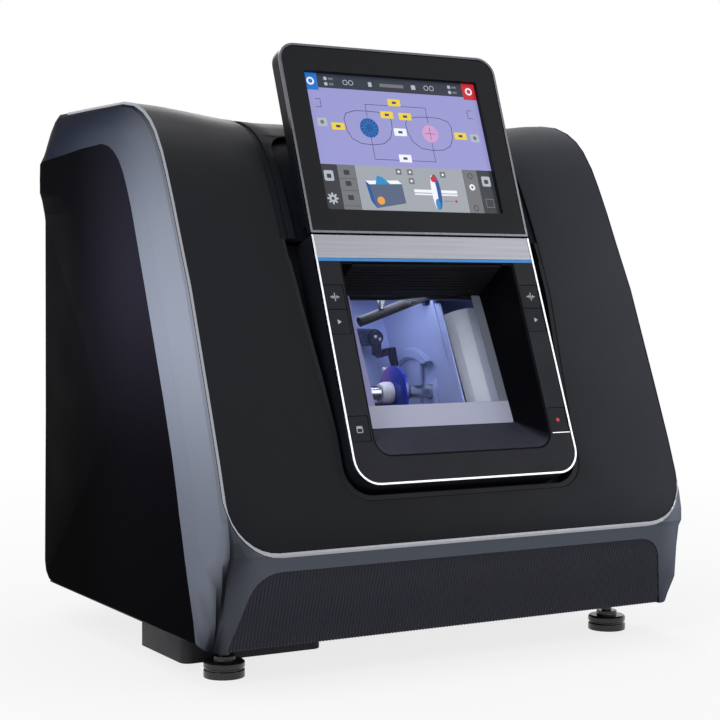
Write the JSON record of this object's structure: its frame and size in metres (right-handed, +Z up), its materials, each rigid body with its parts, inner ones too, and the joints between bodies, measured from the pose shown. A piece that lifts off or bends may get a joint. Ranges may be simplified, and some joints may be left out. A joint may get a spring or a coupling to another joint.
{
  "type": "automatic lens edger",
  "caption": "table-top machine that grinds spectacle lenses to shape, with a sloping console, a tilting display and a window onto its wet grinding chamber",
  "frame": {"origin": "on the table plane under the middle of the machine, at the bottom centre of its bounding box", "axes": "+X right as seen by the user at the console, +Y to the rear, +Z up"},
  "size_m": [0.52, 0.4702, 0.5917],
  "materials": {
    "base_pan": "zinc plated sheet",
    "sump_tray": "dark moulded",
    "front_frame": "metallic slate lacquer",
    "left_side_panel": "gloss black",
    "right_side_panel": "gloss black",
    "rear_cover": "black powder coat",
    "front_hood": "satin charcoal lacquer",
    "centre_insert": "satin charcoal lacquer",
    "hood_trim": "bright trim line",
    "front_grille": "satin moulded",
    "pocket_liner": "satin moulded",
    "console_housing": "satin charcoal",
    "console_trim": "bright edge",
    "console_bar": "brushed",
    "accent_strip": "blue",
    "window_surround": "gloss black",
    "visor": "ribbed black",
    "door_track": "zinc plated sheet",
    "chamber_tub": "blue grey moulded",
    "wheel_guard": "satin",
    "water_nozzle": "dark hose",
    "chamber_lamp": "diffuser",
    "feeler_boss": "machined",
    "wheel_motor": "grey enamel",
    "power_inlet": "black",
    "left_chassis_plate": "zinc plated sheet",
    "right_chassis_plate": "zinc plated sheet",
    "pivot_shaft": "ground steel",
    "hinge_pin": "zinc plated",
    "display_housing": "satin charcoal",
    "display_bezel": "satin charcoal",
    "display_panel": "display glass",
    "display_trim": "bright edge",
    "display_hinge": "zinc plated",
    "door_frame": "black",
    "door_pane": "clear with frosted border",
    "carriage_yoke": "cast",
    "left_chuck_shaft": "ground steel",
    "lens_adapter": "white",
    "lens": "tinted lens blank",
    "clamp_quill": "ground steel",
    "right_chuck_shaft": "ground steel",
    "clamp_pad": "soft pad",
    "wheel_spindle": "ground steel",
    "roughing_wheel": "coated rim",
    "finishing_wheel": "coated rim with a V groove",
    "polishing_wheel": "coated rim, fine",
    "feeler_arm": "satin",
    "feeler_stylus": "satin",
    "power_switch": "black",
    "left_clamp_button": "satin charcoal",
    "right_clamp_button": "satin charcoal",
    "left_start_button": "satin charcoal",
    "right_start_button": "satin charcoal",
    "door_button": "satin charcoal",
    "stop_button": "satin charcoal",
    "front_left_foot": "black, on a zinc stem",
    "front_right_foot": "black, on a zinc stem",
    "rear_left_foot": "black, on a zinc stem",
    "rear_right_foot": "black, on a zinc stem"
  },
  "bodies": {
    "casing": {"base_pan": "base_pan", "sump_tray": "sump_tray", "front_frame": "front_frame", "left_side_panel": "left_side_panel", "right_side_panel": "right_side_panel", "rear_cover": "rear_cover", "front_hood": "front_hood", "centre_insert": "centre_insert", "hood_trim": "hood_trim", "front_grille": "front_grille", "pocket_liner": "pocket_liner", "console_housing": "console_housing", "console_trim": "console_trim", "console_bar": "console_bar", "accent_strip": "accent_strip", "window_surround": "window_surround", "visor": "visor", "door_track": "door_track", "chamber_tub": "chamber_tub", "wheel_guard": "wheel_guard", "water_nozzle": "water_nozzle", "chamber_lamp": "chamber_lamp", "feeler_boss": "feeler_boss", "wheel_motor": "wheel_motor", "power_inlet": "power_inlet", "left_chassis_plate": "left_chassis_plate", "right_chassis_plate": "right_chassis_plate", "pivot_shaft": "pivot_shaft", "hinge_pin": "hinge_pin"},
    "display": {"display_housing": "display_housing", "display_bezel": "display_bezel", "display_panel": "display_panel", "display_trim": "display_trim", "display_hinge": "display_hinge"},
    "door": {"door_frame": "door_frame", "door_pane": "door_pane"},
    "carriage": {"carriage_yoke": "carriage_yoke"},
    "left_spindle": {"left_chuck_shaft": "left_chuck_shaft", "lens_adapter": "lens_adapter", "lens": "lens"},
    "clamp_slide": {"clamp_quill": "clamp_quill"},
    "right_spindle": {"right_chuck_shaft": "right_chuck_shaft", "clamp_pad": "clamp_pad"},
    "wheel_spindle": {"wheel_spindle": "wheel_spindle", "roughing_wheel": "roughing_wheel", "finishing_wheel": "finishing_wheel", "polishing_wheel": "polishing_wheel"},
    "feeler": {"feeler_arm": "feeler_arm", "feeler_stylus": "feeler_stylus"},
    "left_clamp_button": {"left_clamp_button": "left_clamp_button"},
    "right_clamp_button": {"right_clamp_button": "right_clamp_button"},
    "left_start_button": {"left_start_button": "left_start_button"},
    "right_start_button": {"right_start_button": "right_start_button"},
    "door_button": {"door_button": "door_button"},
    "stop_button": {"stop_button": "stop_button"},
    "front_left_foot": {"front_left_foot": "front_left_foot"},
    "front_right_foot": {"front_right_foot": "front_right_foot"},
    "rear_left_foot": {"rear_left_foot": "rear_left_foot"},
    "rear_right_foot": {"rear_right_foot": "rear_right_foot"},
    "power_switch": {"power_switch": "power_switch"}
  },
  "joints": [
    {"name": "display_tilt", "type": "hinge", "parent": "casing", "child": "display", "pos_m": [0, -0.12562, 0.40049], "axis": [1, 0, 0], "range_deg": [-10, 3]},
    {"name": "door_lift", "type": "slide", "parent": "casing", "child": "door", "axis": [0, 0.4397, 0.8981], "range_m": [0, 0.138]},
    {"name": "carriage_swing", "type": "hinge", "parent": "casing", "child": "carriage", "pos_m": [0, 0.09408, 0.33001], "axis": [1, 0, 0], "range_deg": [-6, 1.5]},
    {"name": "left_chuck_turn", "type": "hinge", "parent": "carriage", "child": "left_spindle", "pos_m": [-0.06, -0.08495, 0.247], "axis": [1, 0, 0], "continuous": true},
    {"name": "clamp_travel", "type": "slide", "parent": "carriage", "child": "clamp_slide", "axis": [1, 0, 0], "range_m": [0, 0.02]},
    {"name": "right_chuck_turn", "type": "hinge", "parent": "clamp_slide", "child": "right_spindle", "pos_m": [0.06, -0.08495, 0.247], "axis": [1, 0, 0], "continuous": true},
    {"name": "wheel_turn", "type": "hinge", "parent": "casing", "child": "wheel_spindle", "pos_m": [0.014, -0.05013, 0.17165], "axis": [1, 0, 0], "continuous": true},
    {"name": "feeler_swing", "type": "hinge", "parent": "casing", "child": "feeler", "pos_m": [0, -0.04695, 0.301], "axis": [0, 1, 0], "range_deg": [-8, 12]},
    {"name": "switch_rock", "type": "hinge", "parent": "casing", "child": "power_switch", "pos_m": [-0.1872, 0.21955, 0.13336], "axis": [1, 0, 0], "range_deg": [-8, 8]},
    {"name": "left_clamp_press", "type": "slide", "parent": "casing", "child": "left_clamp_button", "axis": [0, 0.9326, -0.3608], "range_m": [0, 0.001], "stiffness_N_per_m": 600},
    {"name": "right_clamp_press", "type": "slide", "parent": "casing", "child": "right_clamp_button", "axis": [0, 0.9326, -0.3608], "range_m": [0, 0.001], "stiffness_N_per_m": 600},
    {"name": "left_start_press", "type": "slide", "parent": "casing", "child": "left_start_button", "axis": [0, 0.9326, -0.3608], "range_m": [0, 0.001], "stiffness_N_per_m": 600},
    {"name": "right_start_press", "type": "slide", "parent": "casing", "child": "right_start_button", "axis": [0, 0.9326, -0.3608], "range_m": [0, 0.001], "stiffness_N_per_m": 600},
    {"name": "door_press", "type": "slide", "parent": "casing", "child": "door_button", "axis": [0, 0.9326, -0.3608], "range_m": [0, 0.001], "stiffness_N_per_m": 600},
    {"name": "stop_press", "type": "slide", "parent": "casing", "child": "stop_button", "axis": [0, 0.9326, -0.3608], "range_m": [0, 0.001], "stiffness_N_per_m": 600},
    {"name": "front_left_foot_turn", "type": "hinge", "parent": "casing", "child": "front_left_foot", "pos_m": [-0.21798, -0.14895, 0], "axis": [0, 0, 1], "continuous": true},
    {"name": "front_right_foot_turn", "type": "hinge", "parent": "casing", "child": "front_right_foot", "pos_m": [0.21798, -0.14895, 0], "axis": [0, 0, 1], "continuous": true},
    {"name": "rear_left_foot_turn", "type": "hinge", "parent": "casing", "child": "rear_left_foot", "pos_m": [-0.13598, 0.13906, 0], "axis": [0, 0, 1], "continuous": true},
    {"name": "rear_right_foot_turn", "type": "hinge", "parent": "casing", "child": "rear_right_foot", "pos_m": [0.13598, 0.13906, 0], "axis": [0, 0, 1], "continuous": true}
  ],
  "couplings": [
    {"joint": "right_chuck_turn", "follows": "left_chuck_turn", "ratio": 1}
  ]
}
